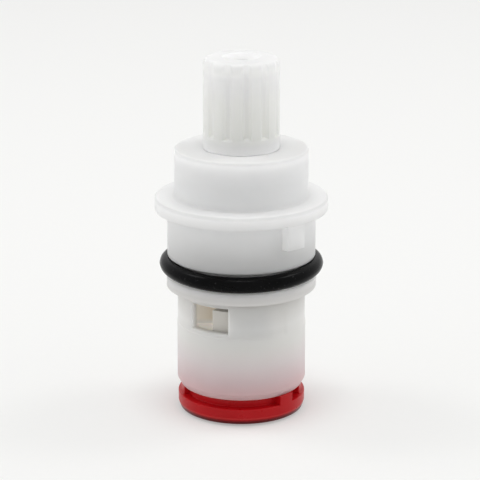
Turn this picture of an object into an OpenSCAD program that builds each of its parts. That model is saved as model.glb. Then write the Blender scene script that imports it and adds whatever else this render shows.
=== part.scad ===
// Plastic quarter-turn ceramic disc cartridge, the hot side stem of a two-handle faucet.
// Millimetres, +Z up. The origin is on the spindle's axis, at the foot of the seat seal.
// An azimuth is measured from the front, which faces -Y, and grows towards +X.
// The spindle is drawn shut, with its driving lug behind half of each outlet window.

/* [Seat seal and retainer] */
// How far the seat seal stands below the retainer
seal_proud = 0.4; // [0.2:0.1:0.5]
// Radius of the retainer's rim
rim_r = 9.55; // [9.3:0.05:9.7]
// Height of the retainer's rim
rim_h = 2.3; // [2.2:0.1:2.8]
// Height of the slots between the rim and the barrel
slot_h = 1.35; // [1.2:0.05:1.6]
// Angle of each long slot around the retainer
slot_angle = 105.2; // [96:0.1:108]
// Angle of the short web beside each long slot
web_angle = 16; // [14:0.1:20]
// Angle of the notch beside each web
notch_angle = 16.8; // [10:0.1:18]
// Azimuth at which the first long slot starts
slot_azimuth = -68; // [-72:1:-64]
// Radius of the water inlet inside the seat seal
inlet_r = 3.7; // [3.5:0.1:3.8]

/* [Barrel] */
// Outer radius of the barrel
barrel_r = 9.75; // [9.7:0.05:9.85]
// Length of the barrel below the seal groove's lower land
barrel_h = 15.45; // [15.2:0.05:15.7]
// Radius of the barrel's bore
bore_r = 8.35; // [8.3:0.05:8.45]
// Width of each outlet window
window_w = 6.35; // [5.8:0.05:6.6]
// Height of each outlet window
window_h = 4; // [3.6:0.1:4.2]
// Height of the window sill above the barrel's lower edge
sill_h = 10.4; // [10.1:0.05:10.6]
// Azimuth of the first outlet window
window_azimuth = -31; // [-36:1:-26]
// Depth of the shallow panel around each window
panel_depth = 0.1; // [0.05:0.05:0.2]
// Angle of that panel
panel_angle = 148; // [130:2:160]

/* [Seal groove] */
// Radius of the land below the groove
land_r = 11.3; // [11.1:0.05:11.4]
// Height of that land
land_h = 1.85; // [1.6:0.05:2]
// Height of the groove
groove_h = 2.95; // [2.8:0.05:3.1]
// Radius of the groove's floor
groove_r = 9.95; // [9.9:0.05:10.1]
// Thickness of the O-ring in the groove
oring_d = 2.4; // [2.3:0.1:2.5]

/* [Body, flange and collar] */
// Radius of the body between the groove and the flange
body_r = 11.15; // [11:0.05:11.3]
// Height of the body
body_h = 7.2; // [7:0.1:8]
// Radius of the flange
flange_r = 13; // [12.8:0.1:13.5]
// Thickness of the flange
flange_t = 2; // [1.6:0.1:2.2]
// Height of the anti-rotation keys below the flange
key_h = 3.8; // [3:0.1:5]
// Angle of each anti-rotation key
key_angle = 15.4; // [12:0.2:22]
// Radius of the keys' outer face
key_r = 12.6; // [12.2:0.1:12.7]
// Azimuth of the first key
key_azimuth = 39.8; // [30:0.1:60]
// Radius of the collar
collar_r = 10; // [9.8:0.05:10.1]
// Height of the collar
collar_h = 7.3; // [7:0.1:8]

/* [Splined stem] */
// Outer radius of the splines
stem_r = 5.7; // [5.6:0.05:5.75]
// Length of the stem above the collar
stem_h = 13.7; // [12:0.1:16]
// Number of flutes between the splines
flutes = 12; // [8:1:16]
// Angle of each flute at the outer radius
flute_angle = 15; // [10:0.5:16]
// Depth of each flute
flute_depth = 0.45; // [0.35:0.05:0.6]
// Azimuth of the first flute
flute_azimuth = 8; // [-15:1:15]
// Length of the plain shank between the splines and the collar
shank_h = 2.1; // [1.8:0.1:2.6]
// Radius of the hole for the handle's screw
screw_r = 2.1; // [1.9:0.1:2.2]
// Depth of that hole
screw_depth = 13; // [10:0.5:14]

/* [Spindle inside the housing] */
// Radius of the spindle where its O-rings sit
journal_r = 6.3; // [6.2:0.05:6.35]
// Thickness of the two spindle O-rings
small_oring_d = 1.8; // [1.7:0.1:1.9]
// Angle that the spindle turns from shut to open
turn_angle = 90; // [80:5:90]
// Angle of each driving lug
lug_angle = 60; // [50:1:60]
// Azimuth of the first driving lug, with the spindle shut
lug_azimuth = -2; // [-4:1:0]

/* [Ceramic discs] */
// Radius of the moving disc
disc_r = 7.9; // [7.7:0.05:8]
// Thickness of each ceramic disc
disc_t = 3; // [2.9:0.05:3.1]
// Angle of each port through the discs
port_angle = 84; // [76:1:86]

/* [Hidden] */
$fn = 128;

// Azimuth of the seam line where a turned shape starts and ends
seam_azimuth = 63;

// Clearances: a turning fit, a hand fit between still parts, and an overlap for clean cuts
run_gap = 0.05;
fit_gap = 0.05;
cut = 0.1;

// Height of the retainer inside the barrel, on which the fixed disc sits
seal_seat_h = 3.15;

// Heights, from the foot of the seat seal upwards
rim_z = seal_proud;
slot_z = rim_z + rim_h;
barrel_z = slot_z + slot_h;
fixed_z = barrel_z + seal_seat_h;
moving_z = fixed_z + disc_t + run_gap;
cavity_z = moving_z + disc_t;
lug_top_z = cavity_z + 4.05;
drive_z = lug_top_z + 2.2;
land_z = barrel_z + barrel_h;
groove_z = land_z + land_h;
body_z = groove_z + groove_h;
flange_z = body_z + body_h;
collar_z = flange_z + flange_t;
collar_top_z = collar_z + collar_h;
stem_top_z = collar_top_z + stem_h;

// Thrust flange of the spindle, the washer on it and the housing's shoulder over them
thrust_h = 2.7;
washer_t = 0.45;
washer_z = drive_z + thrust_h;
shoulder_z = washer_z + washer_t + run_gap;
roof_t = 2;
journal_top_z = collar_top_z - roof_t - 0.4;

// Rounds, fillets and chamfers
collar_round = 0.6;
flange_top_round = 0.5;
flange_foot_round = 0.3;
small_fillet = 0.4;
stem_round = 1.2;
barrel_chamfer_h = 1;
barrel_chamfer_r = 0.55;
rim_chamfer_h = 0.9;
rim_chamfer_r = 0.5;
countersink_r = 2.8;
countersink_h = 0.9;

// Window panel, stop ribs, slots for the fixed disc's ears, and snap groove
sill_z = barrel_z + sill_h;
panel_z = sill_z - 0.6;
rib_r = 7.4;
rib_angle = 30;
rib_z = drive_z + 0.3;
stop_slack = 1;
stop_lug_angle = 180 - turn_angle - rib_angle - 2 * stop_slack;
rib_azimuth = lug_azimuth + 180 - stop_lug_angle / 2 - stop_slack - rib_angle / 2;
ear_w = 3.2;
ear_r = 9;
snap_z = barrel_z + 1.1;
snap_h = 0.9;
snap_r = bore_r + 0.2;
snap_angle = 60;

// Spindle below its journal
flange_lug_r = bore_r - 0.15;
lug_r = 8.1;
lug_inner_r = 4.6;
neck_r = 6.6;
web_w = 15.2;
web_t = 1.4;
tip_w = 2.9;
tip_h = 1.2;
tip_r = 6.9;

// Grooves and O-rings of the spindle, with each ring squeezed between floor and bore
small_groove_r = 4.9;
small_groove_h = 2.2;
lower_groove_z = shoulder_z + 3.6;
upper_groove_z = lower_groove_z + 5.5;

// Webs and blocks of the retainer, which reach up from its rim to the barrel's edge
web_r = rim_r - 0.02;
block_r = rim_r - 0.4;
block_angle = 180 - slot_angle - web_angle - notch_angle;
block_azimuth = slot_azimuth + 180 - block_angle / 2;
web_azimuth = slot_azimuth + slot_angle + web_angle / 2;

// Seat seal, its support ring and their seats
seal_r = 6;
seal_lip_r = 4;
seal_lip_h = 0.9;
seal_flange_r = 7.3;
seal_flange_h = 1.6;
ring_r = 4.4;
neck_outer_r = bore_r - fit_gap;

// Ports through the ceramic discs
port_inner_r = 1.2;
fixed_port_r = 4.3;
moving_port_r = 4.5;

// Turned shape, from its half outline, with its seam line clear of windows, slots, keys and ribs
module turned() {
  at_azimuth(seam_azimuth) rotate_extrude() children();
}

// Turns a part that is drawn along +X to an azimuth
module at_azimuth(azimuth) {
  rotate([0, 0, azimuth - 90]) children();
}

// Repeats a part at an azimuth and opposite it
module twice(azimuth) {
  for (side = [0, 180]) at_azimuth(azimuth + side) children();
}

// Ring between two radii and two heights
module ring(inner_r, outer_r, low_z, high_z) {
  translate([0, 0, low_z]) difference() {
    cylinder(h = high_z - low_z, r = outer_r);
    translate([0, 0, -cut]) cylinder(h = high_z - low_z + 2 * cut, r = inner_r);
  }
}

// Part of a ring, centred on +X
module arc_block(inner_r, outer_r, low_z, high_z, angle) {
  rotate([0, 0, -angle / 2]) rotate_extrude(angle = angle)
    translate([inner_r, low_z]) square([outer_r - inner_r, high_z - low_z]);
}

// Rectangle in the half plane that is turned about the axis
module band(inner_r, outer_r, low_z, high_z) {
  translate([inner_r, low_z]) square([outer_r - inner_r, high_z - low_z]);
}

// What a round takes off an outer corner; the material lies towards side_r and side_z
module corner_round(r, z, size, side_r, side_z) {
  translate([r, z]) difference() {
    translate([side_r > 0 ? -cut : -size, side_z > 0 ? -cut : -size]) square(size + cut);
    translate([side_r * size, side_z * size]) circle(r = size);
  }
}

// What a fillet adds in an inner corner; the open space lies towards side_r and side_z
module corner_fill(r, z, size, side_r, side_z) {
  translate([r, z]) difference() {
    translate([side_r > 0 ? -cut : -size, side_z > 0 ? -cut : -size]) square(size + cut);
    translate([side_r * size, side_z * size]) circle(r = size);
  }
}

// Outline of the housing, from the barrel up to the collar
module housing_outline() {
  difference() {
    union() {
      band(0, barrel_r, barrel_z, land_z + cut);
      band(0, land_r, land_z, groove_z);
      band(0, groove_r, groove_z - cut, body_z + cut);
      band(0, body_r, body_z, flange_z + cut);
      band(0, flange_r, flange_z, collar_z);
      band(0, collar_r, collar_z - cut, collar_top_z);
      corner_fill(barrel_r, land_z, small_fillet, 1, -1);
      corner_fill(collar_r, collar_z, small_fillet, 1, 1);
    }
    corner_round(collar_r, collar_top_z, collar_round, -1, -1);
    corner_round(flange_r, collar_z, flange_top_round, -1, -1);
    corner_round(flange_r, flange_z, flange_foot_round, -1, 1);
    polygon([
      [barrel_r - barrel_chamfer_r, barrel_z - cut],
      [barrel_r + cut, barrel_z - cut],
      [barrel_r + cut, barrel_z + barrel_chamfer_h],
      [barrel_r, barrel_z + barrel_chamfer_h],
      [barrel_r - barrel_chamfer_r, barrel_z]
    ]);
  }
}

// Bore of the housing, from the discs' chamber up to the hole in the collar
module housing_bore() {
  band(-cut, bore_r, barrel_z - cut, shoulder_z);
  band(-cut, snap_r + fit_gap, snap_z - fit_gap, snap_z + snap_h + fit_gap);
  band(-cut, journal_r + run_gap, shoulder_z - cut, collar_top_z - roof_t);
  band(-cut, stem_r + 0.08, collar_top_z - roof_t - cut, collar_top_z + cut);
}

module housing() {
  color("whitesmoke") difference() {
    union() {
      difference() {
        turned() housing_outline();
        turned() intersection() {
          housing_bore();
          band(0, flange_r, 0, stem_top_z);
        }
      }
      twice(rib_azimuth) arc_block(rib_r, bore_r + cut, rib_z, shoulder_z + cut, rib_angle);
      twice(key_azimuth) arc_block(body_r - cut, key_r, flange_z - key_h, flange_z + cut, key_angle);
    }
    twice(window_azimuth) {
      translate([bore_r - 1, -window_w / 2, sill_z]) cube([4, window_w, window_h]);
      arc_block(barrel_r - panel_depth, land_r, panel_z, land_z - small_fillet, panel_angle);
    }
    twice(block_azimuth) translate([bore_r - 1, -ear_w / 2, barrel_z - cut])
      cube([ear_r - bore_r + 1, ear_w, fixed_z + disc_t - barrel_z + cut]);
  }
}

// Outline of the spindle above its thrust flange
module spindle_outline() {
  difference() {
    union() {
      band(0, journal_r, washer_z - cut, journal_top_z);
      band(0, stem_r, journal_top_z - cut, stem_top_z);
    }
    corner_round(stem_r, stem_top_z, stem_round, -1, -1);
    for (z = [lower_groove_z, upper_groove_z])
      band(small_groove_r, journal_r + cut, z, z + small_groove_h);
    band(-cut, screw_r, stem_top_z - screw_depth, stem_top_z + cut);
    polygon([
      [-cut, stem_top_z + cut],
      [-cut, stem_top_z - countersink_h],
      [screw_r, stem_top_z - countersink_h],
      [countersink_r, stem_top_z],
      [countersink_r, stem_top_z + cut]
    ]);
  }
}

// The flutes, with a sloping run-out above the plain shank
module flute_cuts() {
  runout_z = collar_top_z + shank_h;
  runout_h = 0.45;
  half_w = stem_r * sin(flute_angle / 2);
  root_half_w = half_w * 0.45;
  outside = 1;
  intersection() {
    for (i = [0 : flutes - 1])
      at_azimuth(flute_azimuth + i * 360 / flutes) translate([0, 0, runout_z - cut]) linear_extrude(stem_h)
        polygon([
          [stem_r - flute_depth - cut, -root_half_w],
          [stem_r, -half_w],
          [stem_r + outside, -half_w],
          [stem_r + outside, half_w],
          [stem_r, half_w],
          [stem_r - flute_depth - cut, root_half_w]
        ]);
    rotate_extrude() polygon([
      [stem_r - flute_depth, runout_z + runout_h],
      [stem_r + outside, runout_z - outside * runout_h / flute_depth],
      [stem_r + outside, stem_top_z + cut],
      [stem_r - flute_depth, stem_top_z + cut]
    ]);
  }
}

module spindle() {
  flange_inner_r = rib_r - 0.15;
  color("ivory") {
    difference() {
      turned() intersection() {
        spindle_outline();
        band(0, flange_r, 0, stem_top_z);
      }
      flute_cuts();
    }
    translate([0, 0, drive_z]) cylinder(h = thrust_h, r = flange_inner_r);
    twice(lug_azimuth) {
      arc_block(flange_inner_r - cut, flange_lug_r, drive_z, washer_z, stop_lug_angle);
      arc_block(lug_inner_r, lug_r, cavity_z, lug_top_z, lug_angle);
      arc_block(lug_inner_r, neck_r, lug_top_z - cut, drive_z + cut, lug_angle);
      translate([lug_inner_r, -tip_w / 2, cavity_z - tip_h])
        cube([tip_r - lug_inner_r, tip_w, tip_h + cut]);
    }
    translate([-web_w / 2, -web_t / 2, cavity_z]) cube([web_w, web_t, drive_z - cavity_z + cut]);
  }
}

module body_oring() {
  color("#202022") rotate_extrude() intersection() {
    translate([groove_r + oring_d / 2, (groove_z + body_z) / 2]) circle(r = oring_d / 2);
    band(groove_r, land_r + oring_d, groove_z, body_z);
  }
}

// O-ring squeezed between a groove of the spindle and the housing's bore
module small_oring(low_z) {
  outer_r = journal_r + 0.02;
  color("#202022") rotate_extrude() intersection() {
    translate([(small_groove_r + outer_r) / 2, low_z + small_groove_h / 2]) circle(r = small_oring_d / 2);
    band(small_groove_r, outer_r, low_z, low_z + small_groove_h);
  }
}

module spindle_oring_upper() {
  small_oring(upper_groove_z);
}

module spindle_oring_lower() {
  small_oring(lower_groove_z);
}

module thrust_washer() {
  color("lightgray") ring(journal_r + fit_gap, rib_r - 0.2, washer_z, washer_z + washer_t);
}

module moving_disc() {
  color("gainsboro") difference() {
    translate([0, 0, moving_z]) cylinder(h = disc_t, r = disc_r);
    twice(lug_azimuth + 90)
      arc_block(port_inner_r, moving_port_r, moving_z - cut, cavity_z + cut, port_angle);
    twice(lug_azimuth) translate([lug_inner_r - fit_gap, -tip_w / 2 - fit_gap, cavity_z - tip_h])
      cube([disc_r, tip_w + 2 * fit_gap, tip_h + cut]);
  }
}

module fixed_disc() {
  ear_fit = 0.1;
  color("white") difference() {
    union() {
      turned() band(0, bore_r - 0.15, fixed_z, fixed_z + disc_t);
      twice(block_azimuth) translate([disc_r - 1, -ear_w / 2 + ear_fit, fixed_z])
        cube([ear_r - ear_fit - disc_r + 1, ear_w - 2 * ear_fit, disc_t]);
    }
    twice(lug_azimuth)
      arc_block(port_inner_r, fixed_port_r, fixed_z - cut, fixed_z + disc_t + cut, port_angle);
  }
}

module seat_seal() {
  color("#2a2a2c") rotate_extrude() difference() {
    union() {
      band(seal_lip_r, seal_r - fit_gap, 0, fixed_z);
      band(seal_lip_r, seal_flange_r, fixed_z - seal_flange_h, fixed_z);
    }
    band(0, ring_r, seal_lip_h, fixed_z - seal_lip_h);
  }
}

module seal_support_ring() {
  color("silver") ring(inlet_r, ring_r, seal_lip_h, fixed_z - seal_lip_h);
}

module seal_retainer() {
  color("firebrick") {
    rotate_extrude() difference() {
      union() {
        band(seal_r, rim_r, rim_z, slot_z);
        band(seal_r, neck_outer_r, slot_z - cut, fixed_z);
      }
      band(seal_r - cut, seal_flange_r + fit_gap, fixed_z - seal_flange_h, fixed_z + cut);
      polygon([
        [rim_r - rim_chamfer_r, rim_z - cut],
        [rim_r + cut, rim_z - cut],
        [rim_r + cut, rim_z + rim_chamfer_h],
        [rim_r, rim_z + rim_chamfer_h],
        [rim_r - rim_chamfer_r, rim_z]
      ]);
    }
    twice(web_azimuth) arc_block(neck_outer_r - cut, web_r, slot_z - cut, barrel_z, web_angle);
    twice(block_azimuth) arc_block(neck_outer_r - cut, block_r, slot_z - cut, barrel_z, block_angle);
    twice(0) arc_block(neck_outer_r - cut, snap_r, snap_z, snap_z + snap_h, snap_angle);
    twice(block_azimuth) translate([seal_flange_r + 0.5, -ear_w / 2 + 0.1, barrel_z - cut])
      cube([ear_r - 0.1 - seal_flange_r - 0.5, ear_w - 0.2, fixed_z - barrel_z + cut]);
  }
}

housing();
spindle();
body_oring();
spindle_oring_upper();
spindle_oring_lower();
thrust_washer();
moving_disc();
fixed_disc();
seat_seal();
seal_support_ring();
seal_retainer();
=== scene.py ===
from math import asin, cos, degrees, hypot, pi, radians, sin, sqrt, tan

import bmesh
import bpy
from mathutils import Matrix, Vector


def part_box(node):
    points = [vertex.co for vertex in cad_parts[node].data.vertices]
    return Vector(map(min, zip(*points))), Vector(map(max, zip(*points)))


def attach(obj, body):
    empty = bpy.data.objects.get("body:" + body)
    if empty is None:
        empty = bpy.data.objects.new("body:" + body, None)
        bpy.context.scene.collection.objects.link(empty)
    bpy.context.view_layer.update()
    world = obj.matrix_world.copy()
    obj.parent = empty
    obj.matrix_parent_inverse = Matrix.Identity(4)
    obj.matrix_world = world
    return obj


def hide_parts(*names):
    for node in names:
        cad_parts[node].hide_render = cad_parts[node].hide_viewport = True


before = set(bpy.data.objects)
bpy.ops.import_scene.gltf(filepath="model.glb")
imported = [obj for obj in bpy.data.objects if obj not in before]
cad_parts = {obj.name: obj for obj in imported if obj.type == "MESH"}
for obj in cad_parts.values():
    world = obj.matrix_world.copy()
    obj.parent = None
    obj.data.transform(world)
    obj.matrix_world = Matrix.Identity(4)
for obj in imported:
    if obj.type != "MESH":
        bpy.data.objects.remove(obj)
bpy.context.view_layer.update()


# Housing
# One moulding of white acetal: the barrel with its two outlet windows, the groove for the large
# O-ring, the body with its keys, the flange and the collar. It is turned here ring by ring, and its
# windows, keys and panels are formed as the radius changes round the barrel.
MM = 0.001


def ramp(x):
    """Smooth step from 0 to 1 as x goes from 0 to 1."""
    x = min(1, max(0, x))
    return x * x * (3 - 2 * x)


def turn_from(azimuth, centre):
    """Signed angle from centre to azimuth, between -180 and 180 degrees."""
    return (azimuth - centre + 180) % 360 - 180


def inside_angle(azimuth, centre, half, soft):
    """1 within half a width of centre or of the place opposite it, 0 beyond, over soft degrees."""
    away = min(abs(turn_from(azimuth, centre)), abs(turn_from(azimuth, centre + 180)))
    return ramp((half - away) / soft + 0.5)


EDGE_STEPS = [-0.62, -0.5, -0.36, -0.22, -0.08, 0.08, 0.22, 0.36, 0.5, 0.62]


def edge_samples(places, soft):
    """Samples on both sides of each place where a surface steps."""
    return [place + soft * step for place in places for step in EDGE_STEPS]


def azimuth_samples(edges, step=2.0):
    """Azimuths all round, closer together at the edges, given as (centre, half width, softness)."""
    fine = []
    for centre, half, soft in edges:
        for side in (0, 180):
            fine += edge_samples([centre + side - half, centre + side + half], soft)
    coarse = [i * step for i in range(int(360 / step))]
    samples = sorted({round(a % 360, 3) for a in fine})
    samples += [a for a in coarse if all(abs(turn_from(a, b)) > 0.4 * step for b in samples)]
    return sorted(samples)


def rounded(corners, steps=6):
    """Outline through corners of (radius, height, round), with an arc at each rounded one."""
    points = []
    last = len(corners) - 1
    for i, (r, z, size) in enumerate(corners):
        if not size or i in (0, last):
            points.append((r, z))
            continue
        here = Vector((r, z))
        back = (Vector(corners[i - 1][:2]) - here).normalized()
        ahead = (Vector(corners[i + 1][:2]) - here).normalized()
        half = back.angle(ahead) / 2
        reach = size / tan(half)
        centre = here + (back + ahead).normalized() * (size / sin(half))
        start = (here + back * reach - centre).normalized()
        end = (here + ahead * reach - centre).normalized()
        for k in range(steps + 1):
            point = centre + start.slerp(end, k / steps) * size
            points.append((round(point.x, 4), round(point.y, 4)))
    return points


def with_heights(points, heights, where):
    """The outline with more points on its straight upright stretch at radius where."""
    out = []
    for (r0, z0), (r1, z1) in zip(points, points[1:] + points[:1]):
        out.append((r0, z0))
        if abs(r0 - where) < 1e-6 and abs(r1 - where) < 1e-6:
            between = [z for z in heights if min(z0, z1) + 0.01 < z < max(z0, z1) - 0.01]
            out += [(where, z) for z in sorted(between, reverse=z1 < z0)]
    return out


def turned_mesh(azimuths, outline, place, closed=True, gap=None):
    """Turns an outline of (radius, height) points about the axis, in millimetres.

    place(azimuth, radius, height) may move each point. An open outline starts and ends on the axis.
    gap(k, j) says which faces are left out, by outline step k and azimuth step j.
    """
    mesh = bmesh.new()
    rings = []
    for r, z in outline:
        if r < 1e-6:
            rings.append([mesh.verts.new((0, 0, z * MM))])
            continue
        ring = []
        for a in azimuths:
            azimuth, radius, height = place(a, r, z)
            t = radians(azimuth)
            ring.append(mesh.verts.new((radius * sin(t) * MM, -radius * cos(t) * MM, height * MM)))
        rings.append(ring)
    count = len(azimuths)
    for k in range(len(rings) if closed else len(rings) - 1):
        low, high = rings[k], rings[(k + 1) % len(rings)]
        for j in range(count):
            if gap and gap(k, j):
                continue
            n = (j + 1) % count
            corners = [low[j % len(low)], low[n % len(low)], high[n % len(high)], high[j % len(high)]]
            mesh.faces.new(list(dict.fromkeys(corners)))
    return mesh, rings


def finish_piece(name, mesh, body, nodes, material):
    """Makes the mesh an object that rides on its body and stands for its CAD nodes."""
    bmesh.ops.dissolve_degenerate(mesh, dist=1e-7, edges=mesh.edges)
    bmesh.ops.recalc_face_normals(mesh, faces=mesh.faces)
    data = bpy.data.meshes.new(name)
    mesh.to_mesh(data)
    mesh.free()
    data.polygons.foreach_set("use_smooth", [True] * len(data.polygons))
    piece = bpy.data.objects.new(name, data)
    bpy.context.scene.collection.objects.link(piece)
    data.materials.append(material)
    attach(piece, body)
    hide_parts(*nodes)


def new_material(name, rough, **sockets):
    """A material with one Principled shader, and its nodes and links to build on."""
    material = bpy.data.materials.new(name)
    material.use_nodes = True
    nodes, links = material.node_tree.nodes, material.node_tree.links
    shader = nodes["Principled BSDF"]
    shader.inputs["Roughness"].default_value = rough
    for socket, value in sockets.items():
        shader.inputs[socket.replace("_", " ")].default_value = value
    return material, nodes, links, shader


def object_noise(nodes, links, scale, detail=3.0, stretch=(1, 1, 1)):
    """Noise over the piece's own coordinates, as many bumps a metre as scale says."""
    where = nodes.new("ShaderNodeTexCoord")
    mapping = nodes.new("ShaderNodeMapping")
    mapping.inputs["Scale"].default_value = stretch
    noise = nodes.new("ShaderNodeTexNoise")
    noise.inputs["Scale"].default_value = scale
    noise.inputs["Detail"].default_value = detail
    links.new(where.outputs["Object"], mapping.inputs["Vector"])
    links.new(mapping.outputs["Vector"], noise.inputs["Vector"])
    return noise


def colour_ramp(nodes, links, source, stops):
    """Colours along a value, from stops of (position, (red, green, blue))."""
    node = nodes.new("ShaderNodeValToRGB")
    elements = node.color_ramp.elements
    while len(elements) < len(stops):
        elements.new(0.5)
    for element, (position, colour) in zip(elements, stops):
        element.position = position
        element.color = (*colour, 1)
    links.new(source, node.inputs["Fac"])
    return node.outputs["Color"]


def mixed(nodes, links, share, first, second, blend="MIX"):
    """One colour over another, by share, which is a number or a socket."""
    node = nodes.new("ShaderNodeMix")
    node.data_type = "RGBA"
    node.blend_type = blend
    if isinstance(share, float):
        node.inputs["Factor"].default_value = share
    else:
        links.new(share, node.inputs["Factor"])
    for socket, value in ((node.inputs[6], first), (node.inputs[7], second)):
        if isinstance(value, tuple):
            socket.default_value = (*value, 1)
        else:
            links.new(value, socket)
    return node.outputs[2]


def bumped(nodes, links, shader, source, strength, depth):
    """Bump from a value, depth metres deep."""
    bump = nodes.new("ShaderNodeBump")
    bump.inputs["Strength"].default_value = strength
    bump.inputs["Distance"].default_value = depth
    links.new(source, bump.inputs["Height"])
    links.new(bump.outputs["Normal"], shader.inputs["Normal"])


def height_share(nodes, links, low, high, start=0.0, end=1.0):
    """A value that goes from start to end between two heights, in metres of the piece's coordinates."""
    where = nodes.new("ShaderNodeTexCoord")
    split = nodes.new("ShaderNodeSeparateXYZ")
    share = nodes.new("ShaderNodeMapRange")
    for name, value in (("From Min", low), ("From Max", high), ("To Min", start), ("To Max", end)):
        share.inputs[name].default_value = value
    links.new(where.outputs["Object"], split.inputs["Vector"])
    links.new(split.outputs["Z"], share.inputs["Value"])
    return share.outputs["Result"]


def radius_share(nodes, links, low, high, start=0.0, end=1.0):
    """A value that goes from start to end between two distances from the axis, in metres."""
    where = nodes.new("ShaderNodeTexCoord")
    flat = nodes.new("ShaderNodeVectorMath")
    flat.operation = "MULTIPLY"
    flat.inputs[1].default_value = (1, 1, 0)
    radius = nodes.new("ShaderNodeVectorMath")
    radius.operation = "LENGTH"
    share = nodes.new("ShaderNodeMapRange")
    for name, value in (("From Min", low), ("From Max", high), ("To Min", start), ("To Max", end)):
        share.inputs[name].default_value = value
    links.new(where.outputs["Object"], flat.inputs[0])
    links.new(flat.outputs["Vector"], radius.inputs[0])
    links.new(radius.outputs["Value"], share.inputs["Value"])
    return share.outputs["Result"]


def product(nodes, links, first, second):
    """Two values multiplied."""
    node = nodes.new("ShaderNodeMath")
    node.operation = "MULTIPLY"
    for socket, value in zip(node.inputs, (first, second)):
        if isinstance(value, float):
            socket.default_value = value
        else:
            links.new(value, socket)
    return node.outputs["Value"]


def housing_acetal(foot, top):
    """Milky white plastic whose colour carries painted light and shade.

    Its tints go by the height above the seat, in millimetres. The red of the retainer and the black of
    the
    O-ring, which would show through the plastic, are painted in: a red glow at the barrel's foot and
    shade around the O-ring. There is also painted shade under the land, painted light on the body under
    the flange, and painted shade and highlight on the flange's and the collar's top edges. Its scatter
    depth goes by the height too.
    """
    scatter_depth, flange_foot = 0.01, (foot + 27.45) * MM
    sill, window_top = (foot + 10.35) * MM, (foot + 14.45) * MM
    shared_edge, key_low_r, key_high_r, key_light_share = 0.0001, 0.01118, 0.0115, 0.6
    wall_low_r, wall_high_r = 0.0092, 0.0096
    material, nodes, links, shader = new_material(
        "housing_acetal", 0.42, Subsurface_Weight=1.0, IOR=1.48, Specular_IOR_Level=0.3
    )
    shader.inputs["Subsurface Radius"].default_value = (1.0, 0.98, 0.96)
    share = height_share(nodes, links, foot * MM, top * MM)
    # Painted light and shade by height, in millimetres: each list holds the painted tints of one
    # stretch.
    barrel_painted_glow_and_shade = [
        (4.05, (1.0, 0.64, 0.64)), (4.45, (0.90, 0.55, 0.555)), (5.0, (0.79, 0.49, 0.50)),
        (7.0, (0.78, 0.60, 0.61)), (9.5, (0.79, 0.71, 0.71)), (12.5, (0.82, 0.81, 0.78)),
        (15.3, (0.87, 0.865, 0.84)), (18.5, (0.73, 0.725, 0.705)),
    ]
    land_painted_light_and_shade = [
        (19.4, (0.64, 0.62, 0.60)), (20.2, (0.64, 0.62, 0.60)), (20.7, (0.84, 0.82, 0.80)),
        (21.1, (0.99, 0.97, 0.95)),
    ]
    body_painted_light_and_shade = [
        (24.3, (0.63, 0.63, 0.63)), (26.2, (0.71, 0.71, 0.705)), (28.5, (0.85, 0.85, 0.845)),
        (30.0, (0.95, 0.95, 0.945)), (31.3, (0.98, 0.98, 0.975)),
    ]
    flange_painted_shade_and_highlight = [
        (31.6, (1.0, 1.0, 0.99)), (32.4, (1.0, 1.0, 0.99)), (32.8, (0.97, 0.97, 0.965)),
        (32.95, (0.93, 0.93, 0.925)), (33.08, (0.81, 0.81, 0.805)), (33.2, (0.68, 0.68, 0.675)),
        (33.38, (0.62, 0.62, 0.615)),
    ]
    collar_painted_shade_and_highlight = [
        (33.5, (0.81, 0.81, 0.805)), (34.5, (0.90, 0.90, 0.895)), (37.6, (1.0, 1.0, 0.995)),
        (39.9, (0.99, 0.99, 0.985)), (40.3, (0.93, 0.93, 0.925)), (40.5, (0.80, 0.80, 0.795)),
        (40.7, (0.71, 0.71, 0.705)), (40.8, (0.76, 0.76, 0.755)),
    ]
    tints = barrel_painted_glow_and_shade + land_painted_light_and_shade + body_painted_light_and_shade + flange_painted_shade_and_highlight + collar_painted_shade_and_highlight
    painted_shading = colour_ramp(nodes, links, share, [((z - foot) / (top - foot), tint) for z, tint in tints])
    mottle = object_noise(nodes, links, 160)
    clouds = colour_ramp(nodes, links, mottle.outputs["Fac"], [(0.3, (0.975,) * 3), (0.7, (1, 1, 1))])
    whites = mixed(nodes, links, 1.0, painted_shading, clouds, "MULTIPLY")
    # Painted light: the key's flanks, and a little of the land, are made paler than their shade would
    # leave them.
    key_painted_light = product(
        nodes, links, radius_share(nodes, links, key_low_r, key_high_r, 0.0, key_light_share),
        height_share(nodes, links, flange_foot - shared_edge, flange_foot, 1.0, 0.0),
    )
    whites = mixed(nodes, links, key_painted_light, whites, (0.97, 0.97, 0.96))
    # Painted light: inside the wall's thickness at the windows, the jambs are made paler and warmer
    # than their shade would leave them.
    in_window = product(
        nodes, links, height_share(nodes, links, sill, sill + shared_edge),
        height_share(nodes, links, window_top, window_top + shared_edge, 1.0, 0.0),
    )
    within_wall = radius_share(nodes, links, wall_low_r, wall_high_r, 1.0, 0.0)
    jamb_painted_light = product(nodes, links, in_window, within_wall)
    links.new(mixed(nodes, links, jamb_painted_light, whites, (0.97, 0.96, 0.93)), shader.inputs["Base Color"])
    depths = [
        (19.5, 0.4), (21.3, 0.5), (24.3, 0.3), (24.9, 0.3), (26.5, 1.0), (31.3, 1.0), (31.6, 0.2),
        (33.1, 0.2), (33.5, 1.0), (39.2, 1.0), (40.6, 0.12),
    ]
    depth = colour_ramp(nodes, links, share, [((z - foot) / (top - foot), (d,) * 3) for z, d in depths])
    links.new(product(nodes, links, depth, scatter_depth), shader.inputs["Subsurface Scale"])
    grain = object_noise(nodes, links, 5200, 2.0)
    bumped(nodes, links, shader, grain.outputs["Fac"], 0.25, 0.00002)
    return material


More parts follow.
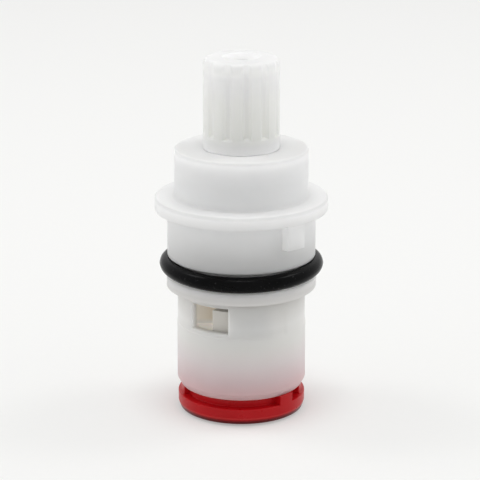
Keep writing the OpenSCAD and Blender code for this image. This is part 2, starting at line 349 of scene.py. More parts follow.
def make_housing():
    low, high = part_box("housing")
    foot, top = low.z / MM, high.z / MM
    barrel, bore, land, groove = 9.75, 8.35, 11.3, 9.95
    body, flange, collar = 11.15, 13.0, 10.0
    land_z, groove_z, body_z = foot + 15.45, foot + 17.3, foot + 20.25
    flange_z, collar_z, roof_z = foot + 27.45, foot + 29.45, top - 2.0
    shoulder_z, journal_bore, stem_hole = foot + 18.65, 6.35, 5.702
    sill_z, window_top_z, window_half, window_at = foot + 10.4, foot + 14.4, 3.175, -31
    panel_z, panel_half, panel_depth = foot + 9.8, 74, 0.1
    key_at, key_half, key_z, key_r = 39.8, 7.7, flange_z - 3.8, 12.6
    rib_at, rib_half, rib_z, rib_r = 133, 15, foot + 15.75, 7.4
    slot_at, slot_half, slot_z, slot_r = 91, 10.9, foot + 6.15, 9.0
    snap_z, snap_high_z, snap_r = foot + 1.05, foot + 2.05, 8.6
    chamfer_r, chamfer_z, entry_z, wall_middle = barrel - 0.55, foot + 1.0, foot + 3, 9.2
    panel_top_z, panel_soft, key_soft, rib_soft = land_z - 0.45, 6, 0.9, 0.5
    soft_z, rib_soft_z, far_soft_z, far_at = 0.2, 0.12, 0.7, 25
    lip, near_wall = 0.18, 0.2

    outer_half = degrees(asin(window_half / barrel))
    inner_half = degrees(asin(window_half / bore))
    blend_half = 60
    lip_steps = [0, 0.25, 0.55, 1.0]
    lip_angle = degrees(lip / barrel)
    window_azimuths = []
    for side in (0, 180):
        for step in lip_steps:
            for hand in (-1, 1):
                window_azimuths.append(window_at + side + hand * (outer_half + step * lip_angle))
    azimuths = azimuth_samples([
        (window_at, panel_half, panel_soft), (key_at, key_half, key_soft),
        (rib_at, rib_half, rib_soft), (slot_at, slot_half, rib_soft),
    ])
    azimuths = [a for a in azimuths
                if all(abs(turn_from(a, b)) > 0.3 for b in window_azimuths)]
    azimuths = sorted(azimuths + [a % 360 for a in window_azimuths])

    outline = rounded([
        (barrel, foot + 6, 0), (barrel, land_z, 0.4), (land, land_z, 0.15), (land, groove_z, 0.15),
        (groove, groove_z, 0.25), (groove, body_z, 0.25), (body, body_z, 0.2),
        (body, flange_z, 0.15), (flange, flange_z, 0.12), (flange, collar_z, 0.5),
        (collar, collar_z, 0.4), (collar, top, 0.35), (stem_hole, top, 0.02), (stem_hole, roof_z, 0),
        (journal_bore, roof_z, 0), (journal_bore, shoulder_z, 0.2), (bore, shoulder_z, 0.2),
        (bore, snap_high_z, 0), (snap_r, snap_high_z, 0), (snap_r, snap_z, 0), (bore, snap_z, 0),
        (bore, foot, 0.1), (chamfer_r, foot, 0.1), (barrel, chamfer_z, 0.4), (barrel, foot + 5.99, 0),
    ])
    window_rows = [sill_z + (window_top_z - sill_z) * i / 8 for i in range(9)]
    lip_rows = [sill_z - lip * step for step in lip_steps[1:]]
    lip_rows += [window_top_z + lip * step for step in lip_steps[1:]]
    barrel_rows = window_rows + lip_rows + edge_samples([panel_z, panel_top_z], soft_z)
    barrel_rows += [panel_z + step for step in (-0.45, -0.35, -0.25, 0.22, 0.32, 0.39)]
    barrel_rows += [foot + 0.9 * i for i in range(2, 12)]
    barrel_rows = sorted({round(z, 4) for z in barrel_rows})
    bore_rows = window_rows + edge_samples([rib_z, slot_z], rib_soft_z)
    outline = with_heights(outline, barrel_rows, barrel)
    outline = with_heights(outline, bore_rows, bore)
    key_rows = edge_samples([key_z], soft_z) + [key_z + i for i in range(1, 4)]
    outline = with_heights(outline, key_rows, body)
    outline = with_heights(outline, [collar_z + i for i in range(1, 7)], collar)

    def edge_drop(distance):
        """How far a surface is rounded off at a distance from an edge."""
        if distance >= lip:
            return 0
        return lip - sqrt(lip * lip - (lip - max(0, distance)) ** 2)

    def place(azimuth, r, z):
        """Forms the panels, the windows' lips, the keys, the ribs and the slots."""
        near = window_at if abs(turn_from(azimuth, window_at)) < 90 else window_at + 180
        away = turn_from(azimuth, near)
        if barrel - 0.05 < r <= barrel and z < land_z:
            step_soft = soft_z + far_soft_z * ramp((away - far_at) / far_at)
            panel = ramp((z - panel_z) / step_soft + 0.5) * ramp((panel_top_z - z) / soft_z + 0.5)
            r -= panel_depth * panel * inside_angle(azimuth, window_at, panel_half, panel_soft)
            past_side = (abs(away) - outer_half) * radians(1) * barrel
            past_end = max(sill_z - z, z - window_top_z)
            if past_side < lip and past_end < lip:
                r -= edge_drop(hypot(max(0, past_side), max(0, past_end)))
        elif r == body or (body < r < key_r and flange_z - 0.3 < z < flange_z):
            key = inside_angle(azimuth, key_at, key_half, key_soft) * ramp((z - key_z) / soft_z + 0.5)
            r = max(r, body + (key_r - body) * key)
        elif abs(r - bore) < near_wall and entry_z < z < shoulder_z + 0.01:
            rib = inside_angle(azimuth, rib_at, rib_half, rib_soft)
            rib *= ramp((z - rib_z) / rib_soft_z + 0.5)
            slot = inside_angle(azimuth, slot_at, slot_half, rib_soft)
            slot *= ramp((slot_z - z) / rib_soft_z + 0.5)
            r += (rib_r - bore) * rib + (slot_r - bore) * slot
        elif z < entry_z and r < wall_middle:
            r = max(r, r + (slot_r - r) * inside_angle(azimuth, slot_at, slot_half, rib_soft))
        if r < barrel - 0.5 and z < shoulder_z and abs(away) < blend_half:
            if abs(away) <= outer_half:
                inner = degrees(asin(min(1, sin(radians(abs(away))) * barrel / bore)))
            else:
                share = (abs(away) - outer_half) / (blend_half - outer_half)
                inner = inner_half + (blend_half - inner_half) * share
            by_window = ramp((z - slot_z - 0.1) / (sill_z - slot_z - 0.15))
            by_window *= ramp((rib_z - 0.1 - z) / (rib_z - window_top_z - 0.15))
            azimuth += by_window * ((inner if away > 0 else -inner) - away)
        return azimuth, r, z

    def in_window(j):
        a, b = azimuths[j], azimuths[(j + 1) % len(azimuths)]
        middle = a + turn_from(b, a) / 2
        return min(abs(turn_from(middle, window_at + side)) for side in (0, 180)) < outer_half

    def gap(k, j):
        (r0, z0), (r1, z1) = outline[k], outline[(k + 1) % len(outline)]
        low_z, high_z = min(z0, z1), max(z0, z1)
        on_wall = abs(r0 - r1) < 1e-6 and (abs(r0 - barrel) < 1e-6 or abs(r0 - bore) < 1e-6)
        return on_wall and low_z > sill_z - 0.001 and high_z < window_top_z + 0.001 and in_window(j)

    mesh, rings = turned_mesh(azimuths, outline, place, gap=gap)

    def row_rings(radius):
        """The rings of one wall, from the sill up to the window's top."""
        found = {}
        for ring, (r, z) in zip(rings, outline):
            if abs(r - radius) < 1e-6 and sill_z - 0.001 < z < window_top_z + 0.001:
                found[round(z, 3)] = ring
        return [found[z] for z in sorted(found)]

    outside, inside = row_rings(barrel), row_rings(bore)
    count = len(azimuths)
    open_steps = [j for j in range(count) if in_window(j)]
    for j in open_steps:
        n = (j + 1) % count
        mesh.faces.new([outside[0][j], outside[0][n], inside[0][n], inside[0][j]])
        mesh.faces.new([outside[-1][j], outside[-1][n], inside[-1][n], inside[-1][j]])
    starts = [j for j in open_steps if (j - 1) % count not in open_steps]
    ends = [(j + 1) % count for j in open_steps if (j + 1) % count not in open_steps]
    for j in starts + ends:
        for low_out, high_out, low_in, high_in in zip(outside, outside[1:], inside, inside[1:]):
            mesh.faces.new([low_out[j], high_out[j], high_in[j], low_in[j]])
    finish_piece(
        "housing_moulding", mesh, "body", ["housing"], housing_acetal(foot, top)
    )


make_housing()


# Large O-ring
# Nitrile rubber, moulded in two halves, so a fine flash line runs round it. It sits stretched in the
# groove below the body and seals the stem in the faucet.
def nitrile_rubber():
    """Matt black rubber with a dry grey bloom and specks of dust."""
    material, nodes, links, shader = new_material(
        "nitrile_rubber", 0.42, IOR=1.5, Specular_IOR_Level=0.065
    )
    bloom = object_noise(nodes, links, 300, 4.0)
    black = colour_ramp(nodes, links, bloom.outputs["Fac"], [
        (0.35, (0.001, 0.001, 0.0011)),
        (0.75, (0.003, 0.003, 0.0034)),
    ])
    dust = object_noise(nodes, links, 2600, 2.0)
    specks = colour_ramp(nodes, links, dust.outputs["Fac"], [(0.66, (0, 0, 0)), (0.74, (0.35,) * 3)])
    links.new(mixed(nodes, links, specks, black, (0.07, 0.07, 0.072)), shader.inputs["Base Color"])
    rough = colour_ramp(nodes, links, bloom.outputs["Fac"], [(0.3, (0.17,) * 3), (0.7, (0.27,) * 3)])
    links.new(rough, shader.inputs["Roughness"])
    grain = object_noise(nodes, links, 1900, 3.0)
    bumped(nodes, links, shader, grain.outputs["Fac"], 0.35, 0.00004)
    return material


def make_large_oring():
    """Squeezed flat against its groove's floor, with its moulding line outside.

    It lies a little higher at its sides than in front, as the groove is wider than the ring.
    """
    low, high = (corner.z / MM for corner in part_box("body_oring"))
    floor_r, flash, flash_width, lift, wave = 9.95, 0.03, 0.09, 0.04, 0.12
    centre_z = (low + high) / 2
    half = (high - low) / 2
    centre_r = floor_r + half
    points = 48
    outline = []
    for i in range(points):
        t = 2 * pi * i / points
        r = centre_r + half * cos(t)
        if cos(t) >= 0:
            r -= flash * ramp(abs(sin(t)) / flash_width)
        outline.append((max(r, floor_r), centre_z + half * sin(t)))

    def place(azimuth, r, z):
        return azimuth, r, z + lift - wave * cos(radians(2 * azimuth))

    mesh, _ = turned_mesh([i * 2.0 for i in range(180)], outline, place)
    finish_piece("large_oring", mesh, "body", ["body_oring"], nitrile)


nitrile = nitrile_rubber()
make_large_oring()


# Spindle
# White acetal, moulded in one: the splined stem with its screw hole, the journal with two O-ring
# grooves, the thrust flange with its stop lugs, and the fork that drives the moving disc.
def spindle_acetal():
    """Natural acetal, a little warmer than the housing, with a painted warm tan shade on the web
    inside.

    Its stem's tints are painted light and shade by the height above the collar: paler at the very foot,
    darker on the shank and at the top face, with painted light in the flutes and the screw hole. Its
    scatter depth goes by the height too. Below drive_z the fork is greyer, and the light that comes
    through the housing's milky wall is painted as a faint glow on the web.
    """
    drive_z, web_half, warm_shade_low, warm_shade_high = 0.0195, 0.0009, 0.0136, 0.0142
    foot, top, scatter_depth, wall_glow = 0.0408, 0.0545, 0.011, 0.24
    flute_low_r, flute_high_r, flute_light_share = 0.0053, 0.0056, 0.3
    hole_low_r, hole_high_r, warm_shade_low_r, warm_shade_high_r = 0.0025, 0.003, 0.0045, 0.0072
    material, nodes, links, shader = new_material(
        "spindle_acetal", 0.36, Subsurface_Weight=1.0, IOR=1.48, Specular_IOR_Level=0.35
    )
    shader.inputs["Subsurface Radius"].default_value = (1.0, 1.0, 0.96)
    mottle = object_noise(nodes, links, 210)
    clouds = colour_ramp(nodes, links, mottle.outputs["Fac"], [(0.3, (0.975,) * 3), (0.7, (1, 1, 1))])
    up_the_stem = height_share(nodes, links, foot, top)
    # Painted light and shade up the stem: paler at the very foot, darker on the shank and at the top
    # face.
    painted_shading = colour_ramp(nodes, links, up_the_stem, [
        (0.0, (0.97, 0.97, 0.965)), (0.03, (0.86, 0.86, 0.855)), (0.09, (0.79, 0.79, 0.785)),
        (0.17, (0.775, 0.78, 0.755)), (0.4, (0.85, 0.855, 0.815)), (0.6, (0.925, 0.93, 0.875)),
        (0.78, (1.0, 1.0, 0.94)), (0.86, (0.95, 0.95, 0.91)), (0.94, (0.75, 0.75, 0.74)),
        (1.0, (0.67, 0.67, 0.665)),
    ])
    white = mixed(nodes, links, 1.0, painted_shading, clouds, "MULTIPLY")
    # Painted light in the flutes and in the screw hole, which would otherwise sit in shade.
    flute_painted_light = radius_share(nodes, links, flute_low_r, flute_high_r, flute_light_share, 0.0)
    white = mixed(nodes, links, flute_painted_light, white, (0.97, 0.97, 0.95))
    hole_painted_light = radius_share(nodes, links, hole_low_r, hole_high_r, 1.0, 0.0)
    white = mixed(nodes, links, hole_painted_light, white, (0.93, 0.93, 0.92))
    depths = [(0.0, (0.04,) * 3), (0.06, (0.15,) * 3), (0.2, (0.33,) * 3), (0.85, (1, 1, 1))]
    depth = colour_ramp(nodes, links, up_the_stem, depths)
    links.new(product(nodes, links, depth, scatter_depth), shader.inputs["Subsurface Scale"])
    where = nodes.new("ShaderNodeTexCoord")
    split = nodes.new("ShaderNodeSeparateXYZ")
    links.new(where.outputs["Object"], split.inputs["Vector"])
    across = nodes.new("ShaderNodeMath")
    across.operation = "ABSOLUTE"
    links.new(split.outputs["Y"], across.inputs[0])
    on_web = nodes.new("ShaderNodeMath")
    on_web.operation = "LESS_THAN"
    on_web.inputs[1].default_value = web_half
    links.new(across.outputs["Value"], on_web.inputs[0])
    # Painted shade: high on the web a warm tan shade is painted, darkest near the axis, for the deep
    # cavity seen through the window.
    warm_shade_share = product(
        nodes, links, on_web.outputs["Value"], height_share(nodes, links, warm_shade_low, warm_shade_high)
    )
    outwards = radius_share(nodes, links, warm_shade_low_r, warm_shade_high_r)
    web_warm_shade = mixed(nodes, links, outwards, (0.69, 0.62, 0.52), (0.87, 0.83, 0.76))
    tint = mixed(nodes, links, warm_shade_share, (0.72, 0.70, 0.66), web_warm_shade)
    # Below drive_z the fork is painted greyer and warmer, and its web glows in that colour: painted
    # light, though it is no lamp, for the light that comes through the housing's wall.
    above = height_share(nodes, links, drive_z, drive_z + 0.0001)
    links.new(mixed(nodes, links, above, tint, white), shader.inputs["Base Color"])
    lit = mixed(nodes, links, on_web.outputs["Value"], (0, 0, 0), tint)
    links.new(mixed(nodes, links, above, lit, (0, 0, 0)), shader.inputs["Emission Color"])
    shader.inputs["Emission Strength"].default_value = wall_glow
    grain = object_noise(nodes, links, 5200, 2.0)
    bumped(nodes, links, shader, grain.outputs["Fac"], 0.25, 0.00002)
    return material


def make_stem():
    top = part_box("spindle")[1].z / MM
    stem, root, journal, hole, mouth = 5.7, 5.25, 6.3, 2.1, 2.8
    collar_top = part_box("housing")[1].z / MM
    shank_z, runout_h = collar_top + 2.1, 0.45
    journal_top, journal_foot, neck_z = collar_top - 2.4, 22.2, 20.5
    crown, countersink, hole_depth, hole_point = 1.2, 0.9, 13, 13.4
    groove_r, groove_h, lower_z = 4.9, 2.2, 26.3
    upper_z = lower_z + 5.5
    flutes, flute_at = 12, 8
    flute_half = 7.5
    root_half = 0.45 * flute_half

    outline = rounded([
        (0, neck_z, 0), (journal - 0.4, neck_z, 0), (journal, journal_foot, 0), (journal, lower_z, 0.1),
        (groove_r, lower_z, 0.15), (groove_r, lower_z + groove_h, 0.15),
        (journal, lower_z + groove_h, 0.1), (journal, upper_z, 0.1), (groove_r, upper_z, 0.15),
        (groove_r, upper_z + groove_h, 0.15), (journal, upper_z + groove_h, 0.1),
        (journal, journal_top, 0.25), (stem, journal_top, 0.1), (stem, top, crown), (mouth, top, 0.12),
        (hole, top - countersink, 0.1), (hole, top - hole_depth, 0.3), (0, top - hole_point, 0),
    ], 9)
    rows = [shank_z - 0.3, shank_z - 0.1] + [shank_z + 0.05 * i for i in range(14)]
    rows += [shank_z + 0.9 + 0.6 * i for i in range(20)]
    outline = with_heights(outline, rows, stem)

    pitch = 360 / flutes

    def place(azimuth, r, z):
        """Cuts the flutes between the splines, which run out at the shank."""
        if z < shank_z - 0.2 or r < mouth + 0.3:
            return azimuth, r, z
        away = abs((azimuth - flute_at + pitch / 2) % pitch - pitch / 2)
        share = min(1, max(0, (away - root_half) / (flute_half - root_half)))
        floor = root + (stem - root) * share
        floor = max(floor, root + (stem - root) * (shank_z + runout_h - z) / runout_h)
        blend = 0.1
        d = (r - floor) / blend
        softened = floor if d > 1 else (r if d < -1 else min(r, floor) - blend * (1 - abs(d)) ** 2 / 4)
        return azimuth, softened, z

    azimuths = []
    for i in range(flutes):
        centre = flute_at + i * pitch
        for part in (0.1, 0.25, 0.35, 0.5, 0.7, 0.9, 1, 1.1, 1.25):
            azimuths += [(centre + side * part * flute_half) % 360 for side in (-1, 1)]
        for part in (-0.3, -0.15, 0, 0.15, 0.3):
            azimuths.append((centre + pitch / 2 + part * pitch * 0.9) % 360)
    azimuths = sorted({round(a, 3) for a in azimuths})
    mesh, _ = turned_mesh(azimuths, outline, place, closed=False)
    return mesh


def prism(mesh, outline, low, high):
    """A straight prism over a closed outline of (x, y) points, in millimetres."""
    foot = [mesh.verts.new((x * MM, y * MM, low * MM)) for x, y in outline]
    head = [mesh.verts.new((x * MM, y * MM, high * MM)) for x, y in outline]
    mesh.faces.new(foot[::-1])
    mesh.faces.new(head)
    for i in range(len(outline)):
        n = (i + 1) % len(outline)
        mesh.faces.new([foot[i], foot[n], head[n], head[i]])


def arc(r, start, end, step=2.5):
    """Points on a circle from one azimuth to another."""
    count = max(2, int(abs(end - start) / step) + 1)
    turns = [radians(start + (end - start) * i / (count - 1)) for i in range(count)]
    return [(r * sin(t), -r * cos(t)) for t in turns]


def make_fork():
    """Thrust flange, stop lugs, cross web and driving lugs, as one solid under the journal."""
    lug_at, lug_half, stop_half = -2, 30, 29
    cavity_z, lug_top_z, drive_z, flange_top_z = 13.25, 17.5, 19.5, 22.2
    flange_r, stop_r, lug_r, neck_r, inner_r = 7.25, 8.2, 8.1, 6.6, 4.6
    web_half, web_thick, tip_half, tip_r, tip_z = 7.6, 0.7, 1.45, 6.9, 12.05
    overlap = 0.3
    outline = []
    for side in (0, 180):
        centre = lug_at + side
        outline += arc(stop_r, centre - stop_half, centre + stop_half)
        outline += arc(flange_r, centre + stop_half, centre + 180 - stop_half)
    parts = [(outline, drive_z, flange_top_z)]
    web = [
        (-web_half, -web_thick), (web_half, -web_thick), (web_half, web_thick), (-web_half, web_thick),
    ]
    parts.append((web, cavity_z, drive_z + overlap))
    for side in (0, 180):
        start, end = lug_at + side - lug_half, lug_at + side + lug_half
        parts.append((arc(lug_r, start, end) + arc(inner_r, end, start), cavity_z, lug_top_z))
        neck = arc(neck_r, start, end) + arc(inner_r, end, start)
        parts.append((neck, lug_top_z - overlap, drive_z + overlap))
        t = radians(lug_at + side)
        tip_in = inner_r + 0.1
        tip = [(tip_in, -tip_half), (tip_r, -tip_half), (tip_r, tip_half), (tip_in, tip_half)]
        tip = [(r * sin(t) + s * cos(t), -r * cos(t) + s * sin(t)) for r, s in tip]
        parts.append((tip, tip_z, cavity_z + overlap))
    solids = []
    for shape, low, high in parts:
        mesh = bmesh.new()
        prism(mesh, shape, low, high)
        bmesh.ops.recalc_face_normals(mesh, faces=mesh.faces)
        data = bpy.data.meshes.new("fork_part")
        mesh.to_mesh(data)
        mesh.free()
        solids.append(bpy.data.objects.new("fork_part", data))
        bpy.context.scene.collection.objects.link(solids[-1])
    return solids


def joined(name, base, others):
    """One closed mesh from overlapping solids, which are used up."""
    for other in others:
        union = base.modifiers.new("union", "BOOLEAN")
        union.operation = "UNION"
        union.solver = "EXACT"
        union.object = other
    bpy.context.view_layer.update()
    graph = bpy.context.evaluated_depsgraph_get()
    data = bpy.data.meshes.new_from_object(base.evaluated_get(graph))
    for used in [base] + others:
        bpy.data.objects.remove(used)
    piece = bpy.data.objects.new(name, data)
    bpy.context.scene.collection.objects.link(piece)
    return piece


def make_spindle():
    edge_round, corner = 0.12 * MM, radians(40)
    parts = make_fork()
    fork = joined("fork", parts[0], parts[1:])
    bevel = fork.modifiers.new("edges", "BEVEL")
    bevel.width = edge_round
    bevel.segments = 3
    bevel.limit_method = "ANGLE"
    bevel.angle_limit = corner
    bpy.context.view_layer.update()
    graph = bpy.context.evaluated_depsgraph_get()
    data = bpy.data.meshes.new_from_object(fork.evaluated_get(graph))
    bpy.data.objects.remove(fork)
    mesh = make_stem()
    mesh.from_mesh(data)
    finish_piece(
        "spindle_moulding", mesh, "spindle", ["spindle"], spindle_acetal()
    )


make_spindle()


# Seal retainer
# Glossy red plastic cap that snaps into the barrel and holds the seat seal. Its rim, the slots above
# it and the webs that meet the barrel's edge show. Red marks the hot side.
def retainer_plastic():
    """Saturated red moulded plastic, glossy, with fine moulding haze.

    A thin painted highlight runs along the edge of its lower chamfer, and the chamfer under it is
    painted shade.
    """
    chamfer_low, chamfer_high, highlight_band_low, highlight_band_high = 0.0007, 0.0011, 0.00106, 0.00138
    chamfer_low_r, chamfer_high_r = 0.0089, 0.0092
    material, nodes, links, shader = new_material(
        "retainer_plastic", 0.3, Subsurface_Weight=0.1, Subsurface_Scale=0.0008, IOR=1.5,
        Specular_IOR_Level=0.2
    )
    shader.inputs["Subsurface Radius"].default_value = (1.0, 0.1, 0.1)
    mottle = object_noise(nodes, links, 240)
    red = colour_ramp(nodes, links, mottle.outputs["Fac"], [
        (0.3, (0.44, 0.003, 0.006)),
        (0.7, (0.50, 0.004, 0.008)),
    ])
    # Painted shade: the chamfer under the rim is painted dark, as it faces the floor.
    chamfer = product(
        nodes, links, height_share(nodes, links, chamfer_low, chamfer_high, 1.0, 0.0),
        radius_share(nodes, links, chamfer_low_r, chamfer_high_r),
    )
    red = mixed(nodes, links, chamfer, red, (0.12, 0.001, 0.003))
    # Painted highlight: a thin paler band along the upper edge of the chamfer.
    edge = colour_ramp(nodes, links, height_share(nodes, links, highlight_band_low, highlight_band_high), [
        (0.0, (0, 0, 0)), (0.4, (1, 1, 1)), (1.0, (0, 0, 0)),
    ])
    red = mixed(nodes, links, edge, red, (0.54, 0.03, 0.03))
    links.new(red, shader.inputs["Base Color"])
    haze = object_noise(nodes, links, 900, 4.0)
    rough = colour_ramp(nodes, links, haze.outputs["Fac"], [(0.3, (0.26,) * 3), (0.7, (0.38,) * 3)])
    links.new(rough, shader.inputs["Roughness"])
    bumped(nodes, links, shader, haze.outputs["Fac"], 0.1, 0.00001)
    return material


def inside_height(z, low, high, soft):
    """1 between low and high, 0 beyond, over soft millimetres."""
    return ramp((z - low) / soft + 0.5) * ramp((high - z) / soft + 0.5)


def make_retainer():
    low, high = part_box("seal_retainer")
    foot, top = low.z / MM, high.z / MM
    rim, neck, block, bore, seat, snap, ear = 9.65, 8.3, 9.15, 6.0, 7.35, 8.55, 8.9
    rim_z, barrel_z, seat_z = foot + 2.3, foot + 3.65, top - 1.6
    web_at, web_half = 45.2, 8.0
    block_at, block_half = 91, 18
    ear_half, edge_soft = 9.7, 0.8
    bead_at, bead_half, bead_soft = 0, 30, 1.5
    snap_z, snap_high_z, snap_soft = barrel_z + 1.1, barrel_z + 2.0, 0.2
    recess, stand_z, chamfer_r, chamfer_z = bore + 1.5, foot - 0.08, rim - 0.3, foot + 0.78
    outline = rounded([
        (bore, foot, 0.15), (recess, foot, 0.03), (recess + 0.2, stand_z, 0.03),
        (chamfer_r, stand_z, 0.1), (rim, chamfer_z, 0.1), (rim, rim_z, 0.12),
        (neck, rim_z, 0.1), (neck, barrel_z, 0), (neck, barrel_z + 0.03, 0),
        (neck, top, 0.15), (seat, top, 0.1), (seat, seat_z, 0), (bore, seat_z, 0.1),
    ])
    rows = edge_samples([snap_z, snap_high_z], snap_soft) + [rim_z + 0.25 * i for i in range(1, 6)]
    outline = with_heights(outline, rows, neck)
    azimuths = azimuth_samples([
        (web_at, web_half, edge_soft), (block_at, block_half, edge_soft),
        (block_at, ear_half, edge_soft), (bead_at, bead_half, bead_soft),
    ])

    def place(azimuth, r, z):
        """Forms the webs, the blocks, their ears and the snap beads."""
        if rim_z - 0.121 < z <= barrel_z + 0.001 and neck <= r < rim:
            r += (rim - r) * inside_angle(azimuth, web_at, web_half, edge_soft)
            in_block = inside_angle(azimuth, block_at, block_half, edge_soft)
            r = max(r, neck + (block - neck) * in_block)
        elif r == neck and z > barrel_z:
            r += (ear - neck) * inside_angle(azimuth, block_at, ear_half, edge_soft)
            bead = inside_angle(azimuth, bead_at, bead_half, bead_soft)
            bead *= inside_height(z, snap_z, snap_high_z, snap_soft)
            r += (snap - neck) * bead
        return azimuth, r, z

    mesh, _ = turned_mesh(azimuths, outline, place)
    finish_piece(
        "seal_retainer_cap", mesh, "body", ["seal_retainer"], retainer_plastic()
    )


make_retainer()


# Inner pieces
# The ceramic discs, the washer, the small O-rings, the seat seal and its steel ring keep the shape
# that they have in the frame. They show only through the windows and from below.
def lapped_alumina(name, glow):
    """Off-white fired alumina with a satin lapped face and a painted faint glow for the light through
    the milky wall.
    """
    material, nodes, links, shader = new_material(
        name, 0.28, IOR=1.7, Subsurface_Weight=0.5, Subsurface_Scale=0.0015, Emission_Strength=glow
    )
    cloud = object_noise(nodes, links, 420, 4.0)
    body_colour = colour_ramp(nodes, links, cloud.outputs["Fac"], [
        (0.3, (0.84, 0.83, 0.80)),
        (0.7, (0.88, 0.87, 0.84)),
    ])
    links.new(body_colour, shader.inputs["Base Color"])
    # Painted light: the disc glows faintly in its own colour, though it is no lamp.
    links.new(body_colour, shader.inputs["Emission Color"])
    grain = object_noise(nodes, links, 4200, 3.0)
    bumped(nodes, links, shader, grain.outputs["Fac"], 0.15, 0.00002)
    return material


def washer_plastic():
    """Smooth low-friction plastic with faint turning marks."""
    material, nodes, links, shader = new_material("washer_plastic", 0.35)
    marks = object_noise(nodes, links, 600, 2.0, (1, 1, 6))
    shade = colour_ramp(nodes, links, marks.outputs["Fac"], [(0.3, (0.74,) * 3), (0.7, (0.8,) * 3)])
    links.new(shade, shader.inputs["Base Color"])
    bumped(nodes, links, shader, marks.outputs["Fac"], 0.2, 0.00002)
    return material


def turned_steel():
    """Turned stainless steel with fine marks round the ring."""
    material, nodes, links, shader = new_material("turned_steel", 0.3, Metallic=1.0)
    marks = object_noise(nodes, links, 900, 3.0, (0.2, 0.2, 8))
    shade = colour_ramp(nodes, links, marks.outputs["Fac"], [(0.3, (0.5,) * 3), (0.7, (0.62,) * 3)])
    links.new(shade, shader.inputs["Base Color"])
    bumped(nodes, links, shader, marks.outputs["Fac"], 0.3, 0.00002)
    return material


kept_nodes = {
    "moving_disc": lapped_alumina("moving_alumina", 0.2),
    "fixed_disc": lapped_alumina("fixed_alumina", 0.14), "thrust_washer": washer_plastic(),
    "seal_support_ring": turned_steel(), "seat_seal": nitrile,
    "spindle_oring_upper": nitrile, "spindle_oring_lower": nitrile,
}
for node_name, node_material in kept_nodes.items():
    node_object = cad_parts[node_name]
    node_object.data.materials.clear()
    node_object.data.materials.append(node_material)


# Floor
# A plain pale sheet of paper under the object. It is paler to the camera than to the light, so that
# it takes a soft shadow, and it fades into the backdrop with distance.
def seen_directly(nodes, links):
    """1 for rays from the camera and for those that gloss and glass send on, 0 for scattered light."""
    rays = nodes.new("ShaderNodeLightPath")
    share = rays.outputs["Is Camera Ray"]
    for kind in ("Is Glossy Ray", "Is Transmission Ray"):
        either = nodes.new("ShaderNodeMath")
        either.operation = "MAXIMUM"
        links.new(share, either.inputs[0])
        links.new(rays.outputs[kind], either.inputs[1])
        share = either.outputs["Value"]
    return share


def paper_white():
    """Matt paper that looks pale and takes the object's shadow, but throws little light back up."""
    material, nodes, links, shader = new_material("paper_white", 0.8, Specular_IOR_Level=0.2)
    near, far, near_y, far_y = (0.57, 0.57, 0.562), (0.60, 0.60, 0.592), -0.02, 0.32
    fade_start, fade_end = 0.34, 0.8
    fibres = object_noise(nodes, links, 900, 3.0)
    where = nodes.new("ShaderNodeTexCoord")
    split = nodes.new("ShaderNodeSeparateXYZ")
    links.new(where.outputs["Object"], split.inputs["Vector"])
    away = nodes.new("ShaderNodeMapRange")
    away.inputs["From Min"].default_value = near_y
    away.inputs["From Max"].default_value = far_y
    links.new(split.outputs["Y"], away.inputs["Value"])
    speckle = colour_ramp(nodes, links, fibres.outputs["Fac"], [(0.3, (0.99,) * 3), (0.7, (1, 1, 1))])
    sheet = mixed(nodes, links, away.outputs["Result"], near, far)
    pale = mixed(nodes, links, 1.0, sheet, speckle, "MULTIPLY")
    share = seen_directly(nodes, links)
    run_out = radius_share(nodes, links, fade_start, fade_end)
    pale = mixed(nodes, links, run_out, pale, (0, 0, 0))
    lift = mixed(nodes, links, run_out, (0.33, 0.33, 0.326), (0.85, 0.85, 0.845))
    links.new(mixed(nodes, links, share, (0.6, 0.6, 0.59), pale), shader.inputs["Base Color"])
    links.new(mixed(nodes, links, share, (0, 0, 0), lift), shader.inputs["Emission Color"])
    shader.inputs["Emission Strength"].default_value = 1.0
    return material


def make_floor(half=1.5):
    mesh = bmesh.new()
    corners = [(-half, -half), (half, -half), (half, half), (-half, half)]
    mesh.faces.new([mesh.verts.new((x, y, 0)) for x, y in corners])
    data = bpy.data.meshes.new("floor")
    mesh.to_mesh(data)
    mesh.free()
    data.materials.append(paper_white())
    floor = bpy.data.objects.new("floor", data)
    bpy.context.scene.collection.objects.link(floor)


make_floor()


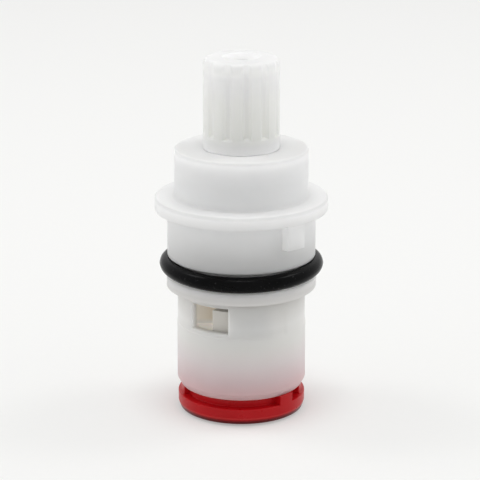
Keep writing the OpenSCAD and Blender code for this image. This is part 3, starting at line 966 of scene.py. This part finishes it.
# Light
# A light tent: a pale world that is brighter at its two sides and dimmer overhead, with a soft lamp
# over the object and a smaller one at each upper side.
def make_world(plain=0.6, sides=0.95, behind=0.1, top=-0.36, seen=0.9):
    """The tent's brightness goes by direction, and the camera sees a plain backdrop instead."""
    world = bpy.data.worlds.new("tent")
    world.use_nodes = True
    nodes, links = world.node_tree.nodes, world.node_tree.links
    out = nodes["World Output"]
    light = nodes["Background"]
    light.inputs["Color"].default_value = (1, 1, 1, 1)
    way = nodes.new("ShaderNodeTexCoord")
    split = nodes.new("ShaderNodeSeparateXYZ")
    links.new(way.outputs["Generated"], split.inputs["Vector"])
    strength = plain
    for axis, floor, gain in (("X", -1.0, sides), ("Y", 0.0, behind), ("Z", 0.0, top)):
        clipped = nodes.new("ShaderNodeMath")
        clipped.operation = "MAXIMUM"
        clipped.inputs[1].default_value = floor
        links.new(split.outputs[axis], clipped.inputs[0])
        square = nodes.new("ShaderNodeMath")
        square.operation = "MULTIPLY"
        links.new(clipped.outputs["Value"], square.inputs[0])
        links.new(clipped.outputs["Value"], square.inputs[1])
        added = nodes.new("ShaderNodeMath")
        added.operation = "MULTIPLY_ADD"
        added.inputs[1].default_value = gain
        links.new(square.outputs["Value"], added.inputs[0])
        if isinstance(strength, float):
            added.inputs[2].default_value = strength
        else:
            links.new(strength, added.inputs[2])
        strength = added.outputs["Value"]
    links.new(strength, light.inputs["Strength"])
    backdrop = nodes.new("ShaderNodeBackground")
    backdrop.inputs["Color"].default_value = (seen, seen, seen, 1)
    choice = nodes.new("ShaderNodeMixShader")
    links.new(seen_directly(nodes, links), choice.inputs["Fac"])
    links.new(light.outputs["Background"], choice.inputs[1])
    links.new(backdrop.outputs["Background"], choice.inputs[2])
    links.new(choice.outputs["Shader"], out.inputs["Surface"])
    bpy.context.scene.world = world


def soft_lamp(name, place, size, power):
    """A square area lamp that faces the middle of the object."""
    middle = Vector((0, 0, 0.027))
    lamp = bpy.data.lights.new(name, "AREA")
    lamp.size = size
    lamp.energy = power
    holder = bpy.data.objects.new(name, lamp)
    holder.location = place
    holder.rotation_euler = (middle - Vector(place)).to_track_quat("-Z", "Y").to_euler()
    bpy.context.scene.collection.objects.link(holder)


make_world()
soft_lamp("overhead", (0, -0.06, 0.6), 0.16, 0.85)
soft_lamp("upper left", (-0.31, 0.1, 0.5), 0.14, 0.34)
soft_lamp("upper right", (0.31, 0.1, 0.5), 0.14, 0.34)


# Camera
# Fitted to the photo: 0.3 m in front of the stem and a little above it, tilted down, with a long
# lens, so that the stem stands upright and nearly fills the frame's height.
def make_camera():
    across, away, height, tilt = -0.00021, 0.2972, 0.1159, 16.77
    focal_pixels, photo_width, sensor = 2062, 480, 36
    lens = bpy.data.cameras.new("camera")
    lens.sensor_width = sensor
    lens.lens = focal_pixels * sensor / photo_width
    lens.clip_start = 0.01
    holder = bpy.data.objects.new("camera", lens)
    holder.location = (across, -away, height)
    holder.rotation_euler = (radians(90 - tilt), 0, 0)
    bpy.context.scene.collection.objects.link(holder)
    bpy.context.scene.camera = holder


make_camera()
bpy.context.scene.view_settings.view_transform = "Standard"
